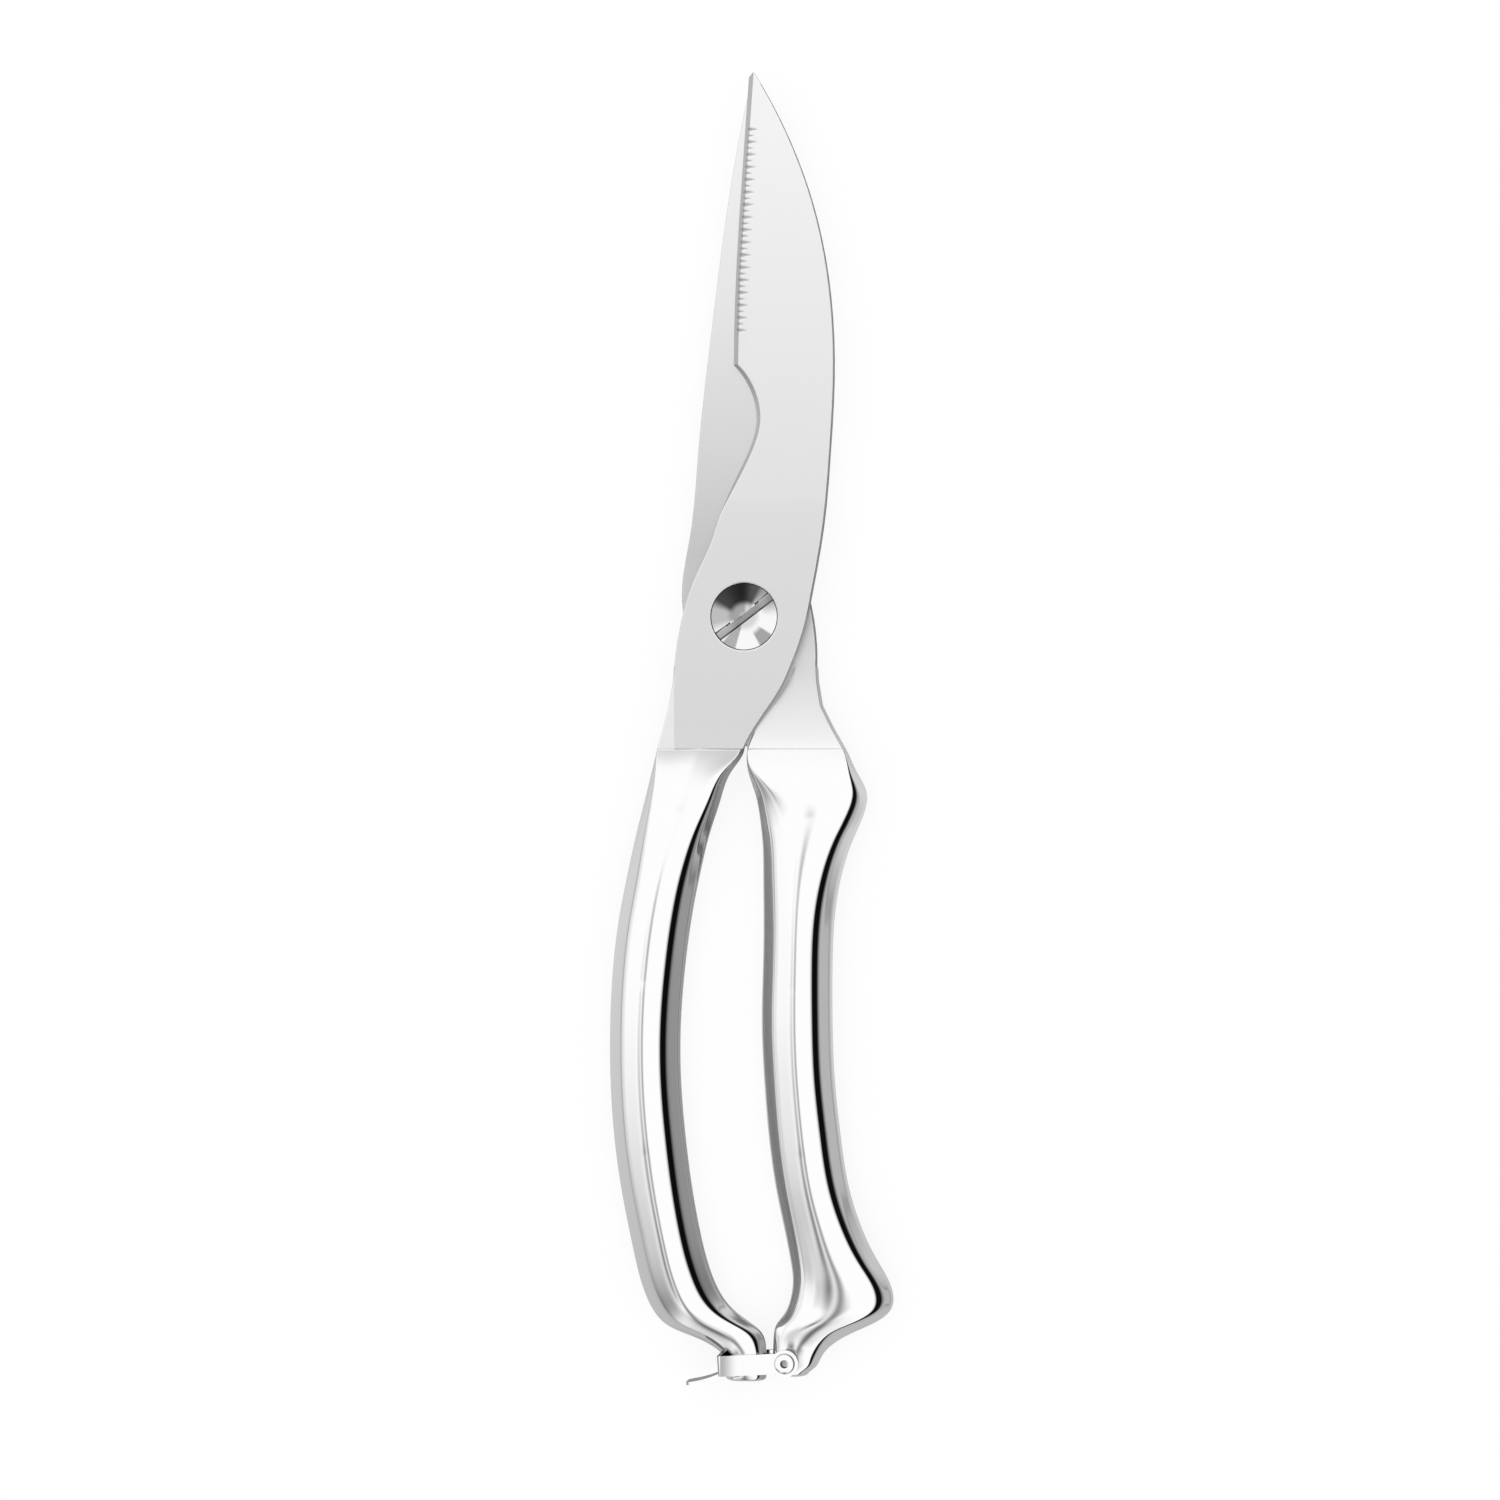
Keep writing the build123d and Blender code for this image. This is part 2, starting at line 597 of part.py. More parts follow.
# Latch: a strap bent to a U that swings on a tubular rivet, with a thumb tab on its bridge
tilt = radians(strap_tilt)
rivet_place = (rivet_offset, -rivet_drop)
strap_plane = Plane(
    origin=(*rivet_place, 0), x_dir=(-cos(tilt), -sin(tilt), 0), z_dir=(0, 0, 1)
)
bend_plane = Plane(origin=strap_plane.origin, x_dir=strap_plane.x_dir, z_dir=-strap_plane.y_dir)
strap_end = strap_reach + strap_thickness
with BuildPart() as latch_loop:
    with BuildSketch(bend_plane) as bend:
        with Locations((strap_end / 2, 0)):
            Rectangle(strap_end, 2 * arm_outside)
        fillet(bend.vertices().group_by(Axis.X)[-1], radius=strap_bend)
        with Locations((strap_reach / 2, 0)):
            Rectangle(strap_reach, 2 * arm_inside, mode=Mode.SUBTRACT)
    extrude(amount=strap_height / 2, both=True)
    for height in (arm_inside, -arm_outside):
        with BuildSketch(strap_plane.offset(height)):
            Circle(eye_diameter / 2)
    extrude(amount=strap_thickness)
    with BuildSketch(strap_plane):
        with BuildLine():
            root = (strap_end - strap_thickness / 2, strap_height / 2 - tab_thickness)
            end = (strap_end + tab_length, strap_height / 2 + tab_drop - tab_thickness)
            middle = (strap_end + tab_length / 2, (root[1] + end[1]) / 2 + tab_sag)
            upper = ThreePointArc(root, middle, end)
            lower = ThreePointArc(*[(x, y + tab_thickness) for x, y in (root, middle, end)])
            Line(upper @ 0, lower @ 0)
            Line(upper @ 1, lower @ 1)
        make_face()
    extrude(amount=tab_width / 2, both=True)
    tab_end = latch_loop.faces().sort_by(Axis.X)[0]
    fillet(tab_end.edges().sort_by(SortBy.LENGTH)[:2], radius=tab_corner)
    with BuildSketch(strap_plane.offset(-arm_outside)):
        Circle(rivet_diameter / 2 + running_play)
    extrude(amount=2 * arm_outside, mode=Mode.SUBTRACT)
latch_loop.part.label = "latch_loop"


def latch_washer(side):
    """Washer between one arm of the strap and the rivet's head."""
    with BuildPart() as washer:
        with BuildSketch(half_plane(side, arm_outside + running_play)):
            with Locations((side * rivet_offset, -rivet_drop)):
                Circle(latch_washer_diameter / 2)
                Circle(rivet_diameter / 2, mode=Mode.SUBTRACT)
        extrude(amount=latch_washer_thickness)
    return washer


front_latch_washer = latch_washer(1)
rear_latch_washer = latch_washer(-1)
front_latch_washer.part.label = "front_latch_washer"
rear_latch_washer.part.label = "rear_latch_washer"

rivet_floor = arm_outside + running_play + latch_washer_thickness
with BuildPart() as latch_rivet:
    with BuildSketch(Plane(origin=(*rivet_place, 0), x_dir=(1, 0, 0), z_dir=(0, -1, 0))):
        with BuildLine():
            bore, shank, head = rivet_bore / 2, rivet_diameter / 2, rivet_head_diameter / 2
            top = rivet_floor + rivet_head_thickness
            out_share, down_share = rivet_round_shares
            bulge = shank + (head - shank) * out_share, top - rivet_head_thickness * down_share
            ThreePointArc((shank, -top), (bulge[0], -bulge[1]), (head, -rivet_floor))
            Line((head, -rivet_floor), (shank, -rivet_floor))
            Line((shank, -rivet_floor), (shank, rivet_floor))
            Line((shank, rivet_floor), (head, rivet_floor))
            ThreePointArc((head, rivet_floor), bulge, (shank, top))
            Polyline((shank, top), (bore, top), (bore, -top), (shank, -top))
        make_face()
    revolve(axis=Axis((*rivet_place, 0), (0, 0, 1)))
latch_rivet.part.label = "latch_rivet"

# The origin goes to the middle of the shears' underside
pieces = [
    front_blade, rear_blade, left_handle, right_handle, pivot_screw, pivot_nut, pivot_washer,
    return_spring, latch_loop, latch_rivet, front_latch_washer, rear_latch_washer,
]
whole = Compound(children=[Compound(piece.part.solids()) for piece in pieces]).bounding_box()
to_origin = Pos(-whole.center().X, -whole.center().Y, -whole.min.Z)
print("size", whole.size)
print("pivot", to_origin.position, "rivet", (to_origin * Pos(*rivet_place, 0)).position)

os.makedirs("parts", exist_ok=True)
for piece in pieces:
    label = piece.part.label
    placed = to_origin * piece.part
    placed.label = label
    export_step(placed, f"parts/{label}.step")
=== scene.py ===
# %% [markdown]
# # Kitchen shears: the looks
# The solids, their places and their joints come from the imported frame. This lesson gives them
# their finishes, one step at a time, and builds the small studio that a bright metal object
# needs: what we see on chrome is almost only the room that it stands in.

# %% Load the frame
import json
import math
import bmesh
import bpy
import numpy as np
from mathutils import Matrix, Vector


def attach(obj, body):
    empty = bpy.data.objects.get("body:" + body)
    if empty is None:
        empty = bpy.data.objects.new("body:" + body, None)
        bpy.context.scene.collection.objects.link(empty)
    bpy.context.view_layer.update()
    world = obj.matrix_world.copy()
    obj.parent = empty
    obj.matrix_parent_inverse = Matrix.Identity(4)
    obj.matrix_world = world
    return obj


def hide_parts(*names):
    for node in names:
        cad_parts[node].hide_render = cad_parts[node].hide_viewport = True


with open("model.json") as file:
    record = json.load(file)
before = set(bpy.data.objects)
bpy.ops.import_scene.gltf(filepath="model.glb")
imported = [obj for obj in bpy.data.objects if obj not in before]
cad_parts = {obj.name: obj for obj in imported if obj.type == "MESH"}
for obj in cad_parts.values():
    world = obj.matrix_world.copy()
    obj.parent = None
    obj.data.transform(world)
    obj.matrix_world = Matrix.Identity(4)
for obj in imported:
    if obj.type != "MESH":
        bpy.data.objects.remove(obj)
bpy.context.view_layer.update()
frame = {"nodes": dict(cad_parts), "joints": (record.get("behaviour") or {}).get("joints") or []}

mm = 0.001
scene = bpy.context.scene
nodes = frame["nodes"]
joints = {joint["name"]: joint for joint in frame["joints"]}
pivot = Vector(joints["blade_pivot"]["pos_m"])
print("nodes", len(nodes), "pivot", tuple(pivot))

# %% [markdown]
# ## Camera
# The photograph looks straight down on the shears from a little to their right, so the thin
# walls of the blades' backs just show. A long lens keeps both ends of the shears in scale.

# %% Place the camera
image_width = 286.1 * mm       # what the square picture spans, in the plane of the front faces
camera_distance = 900 * mm
camera_swing = math.radians(7.0)
picture_middle = Vector((1.14, -25.46, 3.05)) * mm     # from the pivot
film_width = 36.0              # in the lens's own millimetres
near_clip = 10 * mm
aim = pivot + picture_middle
camera_data = bpy.data.cameras.new("camera")
camera = bpy.data.objects.new("camera", camera_data)
scene.collection.objects.link(camera)
camera_data.sensor_width = film_width
camera_data.lens = film_width * camera_distance / image_width
camera_data.clip_start = near_clip
out = Vector((math.sin(camera_swing), 0, math.cos(camera_swing)))
camera.location = aim + out * camera_distance
camera.rotation_euler = (0, camera_swing, 0)
scene.camera = camera
print("lens", round(camera_data.lens, 1), "mm")

# %% [markdown]
# ## Studio
# A mirror finish shows bright panels with thin dark lines between them. A photographer would hang
# two white soft boxes over the shears, with a gap between them for the camera, and stand a black
# card low on the right, which draws the dark line along each handle. Lamps and cards could be
# modelled, but a painted world is simpler and gives the same picture each time: every direction
# has a level of its own, set by how far it leans to the left or right.

# %% Helpers for node trees
def new_tree(owner):
    """Empty node tree of a material or a world."""
    owner.use_nodes = True
    owner.node_tree.nodes.clear()
    return owner.node_tree


def put(tree, kind, **settings):
    """Add a node. A setting named in_... is an input's value, and the others are attributes."""
    node = tree.nodes.new(kind)
    for name, value in settings.items():
        if name.startswith("in_"):
            node.inputs[name[3:].replace("_", " ")].default_value = value
        else:
            setattr(node, name, value)
    return node


def feed(tree, socket, value):
    """Give an input a number, a tuple or the output of another node."""
    if isinstance(value, bpy.types.NodeSocket):
        tree.links.new(value, socket)
    else:
        socket.default_value = value


def math_node(tree, operation, *values, clamp=False):
    """A math node fed by numbers or sockets, in order."""
    node = put(tree, "ShaderNodeMath", operation=operation, use_clamp=clamp)
    for socket, value in zip(node.inputs, values):
        feed(tree, socket, value)
    return node.outputs[0]


mix_sockets = {"RGBA": (6, 7, 2), "VECTOR": (4, 5, 1)}     # first, second and result of each kind


def mixed(tree, kind, factor, first, second, blend="MIX"):
    """A colour or a vector that goes from the first to the second with a factor."""
    node = put(tree, "ShaderNodeMix", data_type=kind, blend_type=blend)
    first_place, second_place, result = mix_sockets[kind]
    for place, value in ((0, factor), (first_place, first), (second_place, second)):
        feed(tree, node.inputs[place], value)
    return node.outputs[result]


def ramp(tree, factor, stops):
    """A grey ramp: pairs of place and level, in rising order, with straight runs between them."""
    node = put(tree, "ShaderNodeValToRGB")
    elements = node.color_ramp.elements
    while len(elements) < len(stops):
        elements.new(0.5)
    for element, (place, level) in zip(elements, stops):
        element.position = place
        element.color = (level, level, level, 1)
    tree.links.new(factor, node.inputs[0])
    return node.outputs[0]


def ramp_by_place(tree, place, stops):
    """A grey level by a place in millimetres: pairs of place and level, in rising order."""
    low, high = stops[0][0], stops[-1][0]
    off = math_node(tree, "SUBTRACT", place, low)
    share = math_node(tree, "DIVIDE", off, high - low, clamp=True)
    return ramp(tree, share, [((value - low) / (high - low), level) for value, level in stops])


def step_between(tree, value, low, high, to_low, to_high):
    """A smooth step of a value from one level to another."""
    step = put(tree, "ShaderNodeMapRange", interpolation_type="SMOOTHSTEP")
    levels = {"From Min": low, "From Max": high, "To Min": to_low, "To Max": to_high}
    for socket, number in levels.items():
        step.inputs[socket].default_value = number
    tree.links.new(value, step.inputs["Value"])
    return step.outputs[0]


def distance(tree, x, y, centre):
    """Distance in the plane from a centre."""
    offs = [math_node(tree, "SUBTRACT", place, middle) for place, middle in zip((x, y), centre)]
    squares = [math_node(tree, "MULTIPLY", off, off) for off in offs]
    return math_node(tree, "SQRT", math_node(tree, "ADD", *squares))


# %% Paint the studio on the world
world = bpy.data.worlds.new("studio")
scene.world = world
tree = new_tree(world)
direction = put(tree, "ShaderNodeTexCoord").outputs["Generated"]
split = put(tree, "ShaderNodeSeparateXYZ")
tree.links.new(direction, split.inputs[0])
across, along, up = split.outputs["X"], split.outputs["Y"], split.outputs["Z"]
turn = math_node(tree, "ARCTAN2", across, up)
tilt = math_node(tree, "MULTIPLY_ADD", turn, 0.5 / math.pi, 0.5)

# Levels round the studio by the direction that is seen, in degrees from straight up, positive
# to the right. The floor hides what lies below the horizon.
studio_levels = [
    (-180, 0.60), (-100, 0.60), (-88, 0.70), (-70, 1.0), (49, 1.0), (55, 0.50),
    (58, 0.004), (77, 0.004), (83, 0.20), (88, 0.46), (110, 0.52), (180, 0.60),
]
panels = ramp(tree, tilt, [(0.5 + angle / 360.0, level) for angle, level in studio_levels])

# The gap between the two soft boxes hangs over the shears and ends beyond the pivot. Round dark
# places beside it are the camera's stand and the open end of the studio. Places are parts of the
# unit vector of a direction, across and along the shears: centre, reach and level.
gap_centre, gap_reach, gap_level = -0.10, 0.20, 0.34
gap_full, gap_end = -0.12, 0.16
dark_spots = [
    ((0.02, -0.31), 0.24, 0.60),
    ((-0.82, -0.52), 0.56, 0.30),
    ((-0.42, -0.20), 0.25, 0.25),
    ((-0.15, -0.78), 0.50, 0.45),
]
off_gap = math_node(tree, "ABSOLUTE", math_node(tree, "SUBTRACT", across, gap_centre))
gap_width = step_between(tree, off_gap, 0.0, gap_reach, 1.0, 0.0)
gap_length = step_between(tree, along, gap_full, gap_end, 1.0, 0.0)
in_gap = math_node(tree, "MULTIPLY", gap_width, gap_length)
dimmed = math_node(tree, "MULTIPLY_ADD", in_gap, gap_level - 1.0, 1.0)
for centre, reach, level in dark_spots:
    off_spot = distance(tree, across, along, centre)
    spot = step_between(tree, off_spot, 0.0, reach, level, 1.0)
    dimmed = math_node(tree, "MULTIPLY", dimmed, spot)
overhead = math_node(tree, "GREATER_THAN", up, 0.0)
underneath = math_node(tree, "SUBTRACT", 1.0, overhead)
patch = math_node(tree, "ADD", math_node(tree, "MULTIPLY", dimmed, overhead), underneath)
background = put(tree, "ShaderNodeBackground")
painted = mixed(tree, "RGBA", 1.0, panels, patch, "MULTIPLY")
tree.links.new(painted, background.inputs["Color"])

# %% [markdown]
# The camera and the soft light that the floor scatters see plain white instead, as round the
# object in the photograph: the paint is for the mirror rays alone.

# %% White for the camera
paths = put(tree, "ShaderNodeLightPath")
white = put(tree, "ShaderNodeBackground", in_Color=(1, 1, 1, 1), in_Strength=1.0)
choose = put(tree, "ShaderNodeMixShader")
plain_rays = [paths.outputs["Is Camera Ray"], paths.outputs["Is Diffuse Ray"]]
tree.links.new(math_node(tree, "ADD", *plain_rays, clamp=True), choose.inputs[0])
tree.links.new(background.outputs[0], choose.inputs[1])
tree.links.new(white.outputs[0], choose.inputs[2])
tree.links.new(choose.outputs[0], put(tree, "ShaderNodeOutputWorld").inputs[0])
scene.view_settings.view_transform = "Standard"
print("studio painted:", len(studio_levels), "levels,", len(dark_spots), "dark places")

# %% [markdown]
# ## Finishes
# The plates are ground: fine lines run across them, and the grind gives a satin surface that
# spreads what it mirrors. The handles are polished until they mirror the room, and the polish
# starts softly at the seam. Each finish is worked out from places on the object, in millimetres
# from the pivot, and so are the greys along each blade and handle, which are painted light and
# shade: one painted room can't give every shade that the real one laid on them.

# %% Places on the object
def place_on_object(tree):
    """Object coordinates in millimetres from the pivot, as a vector and its three parts."""
    coordinates = put(tree, "ShaderNodeTexCoord").outputs["Object"]
    moved = put(tree, "ShaderNodeVectorMath", operation="SUBTRACT")
    moved.inputs[1].default_value = pivot
    tree.links.new(coordinates, moved.inputs[0])
    scaled = put(tree, "ShaderNodeVectorMath", operation="SCALE", in_Scale=1 / mm)
    tree.links.new(moved.outputs[0], scaled.inputs[0])
    parts = put(tree, "ShaderNodeSeparateXYZ")
    tree.links.new(scaled.outputs[0], parts.inputs[0])
    return scaled.outputs[0], parts.outputs


def stretched_noise(tree, place, stretch, detail=3.0):
    """Noise over places stretched by three factors: small factors draw long streaks."""
    stretched = put(tree, "ShaderNodeVectorMath", operation="MULTIPLY")
    stretched.inputs[1].default_value = stretch
    tree.links.new(place, stretched.inputs[0])
    noise = put(tree, "ShaderNodeTexNoise", in_Scale=1.0, in_Detail=detail)
    tree.links.new(stretched.outputs[0], noise.inputs["Vector"])
    return noise.outputs[0]


def bumped(tree, height, depth, below=None):
    """Bump from a height that counts in units of a depth, given in metres."""
    bump = put(tree, "ShaderNodeBump", in_Strength=1.0, in_Distance=depth)
    tree.links.new(height, bump.inputs["Height"])
    if below is not None:
        tree.links.new(below, bump.inputs["Normal"])
    return bump.outputs[0]


def swung(tree, noise, swing, middle):
    """A value that swings about a middle with a noise between 0 and 1."""
    return math_node(tree, "MULTIPLY_ADD", noise, swing, middle - swing / 2)


def metal(tree, colour, roughness, normal):
    """A metal shader: the colour plain or a grey socket, roughness and normal sockets."""
    shader = put(tree, "ShaderNodeBsdfPrincipled", in_Metallic=1.0)
    if isinstance(colour, tuple):
        colour = (*colour, 1)
    feed(tree, shader.inputs["Base Color"], colour)
    tree.links.new(roughness, shader.inputs["Roughness"])
    tree.links.new(normal, shader.inputs["Normal"])
    tree.links.new(shader.outputs[0], put(tree, "ShaderNodeOutputMaterial").inputs[0])


def face_direction(tree):
    """The three parts of the way that a face looks."""
    parts = put(tree, "ShaderNodeSeparateXYZ")
    tree.links.new(put(tree, "ShaderNodeNewGeometry").outputs["True Normal"], parts.inputs[0])
    return parts.outputs


def painted_shade_by_steepness(tree, stops):
    """Painted shade by how flat a face lies: 0 is a side wall, 1 a face of the front or back."""
    return ramp(tree, math_node(tree, "ABSOLUTE", face_direction(tree)["Z"]), stops)


# %% [markdown]
# ### Plates and handles
# A blade is ground on a belt, and a narrow strip along the cutting edge is ground last; its walls
# and that strip carry painted shade. A handle is cast and then buffed. One function makes both,
# because the belt marks fade into the polish where plate and handle meet.

# %% Ground plates and polished handles
satin_start, satin_full = -33.0, -22.5     # mm along the shears: polish below, grind above
grain_stretch, grain_detail = (0.25, 9.0, 1.0), 4.0
smudge_stretch, smudge_detail = (0.12, 0.12, 0.12), 2.0
grind_depth = 0.0005 * mm
polish_depth = 0.003 * mm
grain_swing, smudge_swing = 0.10, 0.03     # how far the roughness swings with each
satin_roughness = 0.30
# Painted light and shade by the place along the shears, in mm from the pivot: greys that
# stand in for the room's reflections and the shade that the parts cast on each other
front_painted_shading = [(-30.0, 0.94), (-22.0, 0.86), (10.0, 0.86), (60.0, 0.92), (100.0, 0.98)]
rear_painted_shading = [
    (-30.0, 0.94), (-22.0, 0.86), (-8.0, 0.86), (2.0, 0.72), (12.0, 0.67),
    (22.0, 0.73), (30.0, 0.78), (37.0, 0.81), (60.0, 0.90), (100.0, 0.98),
]
left_painted_shading = [(-31.0, 0.985), (-28.5, 0.97), (-25.25, 0.80), (-25.15, 1.0), (0.0, 1.0)]
right_painted_shading = [
    (-30.0, 0.985), (-25.0, 0.95), (-22.0, 0.88), (-16.0, 0.80), (-9.8, 0.715), (0.0, 0.715),
]
# Painted shade of a plate by how flat a face lies, from its sawn walls to its flat faces
wall_painted_shades = [(0.0, 0.34), (0.20, 0.42), (0.35, 0.58), (0.42, 0.84), (0.80, 1.0)]
plate_foot = (-25.1, -24.6)                # the painted wall shade stops at the hidden foot of a plate
seam_fade = (-24.85, -24.6)                # no broken edge where a plate meets its handle
edge_round = 0.45 * mm                     # the broken edge round a plate's outline
edge_samples = 8
# The front cutting edge from the notch's corner to the tip: x by y, in mm from the pivot
cutting_edge = [(-2.3, 48.15), (-1.9, 65.1), (-0.3, 90.5), (0.6, 103.3)]
edge_span = (-3.0, 1.0)                    # mm between black and white on the ramp that holds it
ground_strip = 1.15                        # mm of bevel along the cutting edge
# Painted shade on the bevel strip along the cutting edge
bevel_painted_shade = 0.50
strip_fade, strip_start = 0.12, 0.20       # mm over which it ends inwards and at the notch
front_face = (0.2, 0.4)                    # mm of height within which the front blade begins
tooth_zone = 2.6                           # mm from the edge within which the grooves are polished
tooth_relief = 0.6                         # how much of their slope the polish takes
to_front = (0.0, 0.0, 1.0)
inner_flank = (0.55, 0.72)                 # how far a face is turned to the right: crown, flank
# Painted shade on the left handle's inner flank
inner_flank_painted_shade = 0.66                          # the left handle's inner flank faces the dark room


def edge_strip(tree, x, y, z, reach):
    """One beside the front cutting edge and nought beyond a reach from it, on the front face."""
    left, right = edge_span
    notch = cutting_edge[0][1]
    held = ramp_by_place(tree, y, [(v, (u - left) / (right - left)) for u, v in cutting_edge])
    edge_x = math_node(tree, "MULTIPLY_ADD", held, right - left, left)
    off_edge = math_node(tree, "SUBTRACT", x, edge_x)
    near = step_between(tree, off_edge, reach - strip_fade, reach, 1.0, 0.0)
    above = step_between(tree, y, notch - strip_start, notch, 0.0, 1.0)
    front = step_between(tree, z, *front_face, 0.0, 1.0)
    return math_node(tree, "MULTIPLY", math_node(tree, "MULTIPLY", near, above), front)


def plate_normal(tree, x, y, z, teeth):
    """The surface's own normal, turned over at the broken edges and softened in the grooves."""
    own = put(tree, "ShaderNodeNewGeometry").outputs["Normal"]
    broken = put(tree, "ShaderNodeBevel", samples=edge_samples, in_Radius=edge_round).outputs[0]
    normal = mixed(tree, "VECTOR", step_between(tree, y, *seam_fade, 0.0, 1.0), own, broken)
    if teeth:
        zone = edge_strip(tree, x, y, z, tooth_zone)
        relief = math_node(tree, "MULTIPLY", zone, tooth_relief)
        normal = mixed(tree, "VECTOR", relief, normal, to_front)
    return normal


def plate_painted_shade(tree, x, y, z, colour, teeth):
    """A plate's grey, with painted shade on its walls and on the ground strip along its cutting
    edge.
    """
    # Painted shade: the walls are darker than the flat faces
    tone = painted_shade_by_steepness(tree, wall_painted_shades)
    if teeth:
        # Painted shade on the strip along the cutting edge
        ground = edge_strip(tree, x, y, z, ground_strip)
        strip = math_node(tree, "MULTIPLY_ADD", ground, bevel_painted_shade - 1.0, 1.0)
        tone = math_node(tree, "MINIMUM", tone, strip)
    off_foot = step_between(tree, y, *plate_foot, 0.0, 1.0)
    return mixed(tree, "RGBA", off_foot, colour, tone, "MULTIPLY")


def shears_steel(name, polish_roughness, painted_length_shading, plate=False, teeth=False, flank_painted_shade=None):
    """Steel that is ground above the seam and polished below it, with painted shading along its
    length.

    A plate has broken edges and painted shade on its walls, a plate with teeth also on the strip
    ground along its cutting edge, and a painted flank shade darkens the faces that look to the
    right.
    """
    material = bpy.data.materials.new(name)
    tree = new_tree(material)
    place, (x, y, z) = place_on_object(tree)
    satin = step_between(tree, y, satin_start, satin_full, 0.0, 1.0)
    grain = stretched_noise(tree, place, grain_stretch, grain_detail)
    smudge = stretched_noise(tree, place, smudge_stretch, smudge_detail)
    ground = swung(tree, grain, grain_swing, satin_roughness)
    polished = swung(tree, smudge, smudge_swing, polish_roughness)
    spread = math_node(tree, "SUBTRACT", ground, polished)
    roughness = math_node(tree, "MULTIPLY_ADD", spread, satin, polished)
    below = plate_normal(tree, x, y, z, teeth) if plate else None
    lines = bumped(tree, math_node(tree, "MULTIPLY", grain, satin), grind_depth, below)
    normal = bumped(tree, smudge, polish_depth, lines)
    # Painted light and shade along the length, by the place along the shears
    colour = ramp_by_place(tree, y, painted_length_shading)
    if plate:
        colour = plate_painted_shade(tree, x, y, z, colour, teeth)
    if flank_painted_shade is not None:
        # Painted shade on the faces that look to the right
        flank = step_between(tree, face_direction(tree)["X"], *inner_flank, 1.0, flank_painted_shade)
        colour = math_node(tree, "MULTIPLY", colour, flank)
    metal(tree, colour, roughness, normal)
    return material


# %% [markdown]
# ### Screw and nut
# Both are turned on a lathe, so fine rings run round the pivot, and the head's shallow dish
# mirrors the room in sectors. The solid's dish is almost flat, so the rest of its slope is a bump
# that grows with the radius. Some sectors are painted darker, as painted reflections, and the slot
# is painted with shade.

# %% Turned screw and nut
dish_slope = math.radians(8.0)             # slope of the bump at the rim
head_radius = 6.35                         # mm
ring_pitch = 0.22                          # mm between the marks of the tool
ring_depth = 0.0004 * mm
ring_swing = 0.01                          # of the roughness
slot_turn = math.radians(37.0)
slot_span = 4.0                            # mm across the slot that the ramp holds
# Painted shade by the distance from the slot's middle line, in mm
slot_painted_shades = [
    (-0.98, 1.0), (-0.90, 0.08), (-0.62, 0.10), (-0.56, 0.42),
    (0.50, 0.50), (0.58, 1.0), (1.0, 1.0),
]
# Sectors of painted reflection: degrees from the top, half width, first radius in mm, tone
painted_reflection_sectors = [
    (52.0, 72.0, 0.0, 0.55), (16.0, 62.0, 2.0, 0.12),
    (152.0, 15.0, 1.2, 0.46), (-137.0, 17.0, 2.9, 0.40),
]
sector_core = 0.65                         # share of a half width that is burnished in full
sector_fade = 1.3                          # mm over which a sector starts
flat_middle = (1.6, 4.2)                   # mm: inside the first radius the head is flat


def painted_slot_shade(tree, x, y):
    """Painted shade across the slot, which is turned from the shears' width by the slot's angle.
    """
    rise = math_node(tree, "MULTIPLY", y, math.cos(slot_turn))
    fall = math_node(tree, "MULTIPLY", x, math.sin(slot_turn))
    off = math_node(tree, "SUBTRACT", rise, fall)
    share = math_node(tree, "MULTIPLY_ADD", off, 1 / slot_span, 0.5, clamp=True)
    return ramp(tree, share, [(0.5 + place / slot_span, level) for place, level in slot_painted_shades])


def painted_sector_shade(tree, x, y, radius, tone):
    """A grey darkened by painted reflection in each sector, by the angle from the top and the
    radius.
    """
    turn = math_node(tree, "ARCTAN2", math_node(tree, "MULTIPLY", x, -1.0), y)
    angle = math_node(tree, "MULTIPLY", turn, math.degrees(1))
    for centre, half_width, start, level in painted_reflection_sectors:
        off = math_node(tree, "ABSOLUTE", math_node(tree, "SUBTRACT", angle, centre))
        sector = step_between(tree, off, half_width * sector_core, half_width, 1.0, 0.0)
        outside = step_between(tree, radius, start, start + sector_fade, 0.0, 1.0)
        sector = math_node(tree, "MULTIPLY", sector, outside)
        darker = math_node(tree, "MULTIPLY_ADD", sector, level - 1, 1.0)
        tone = math_node(tree, "MULTIPLY", tone, darker)
    return tone


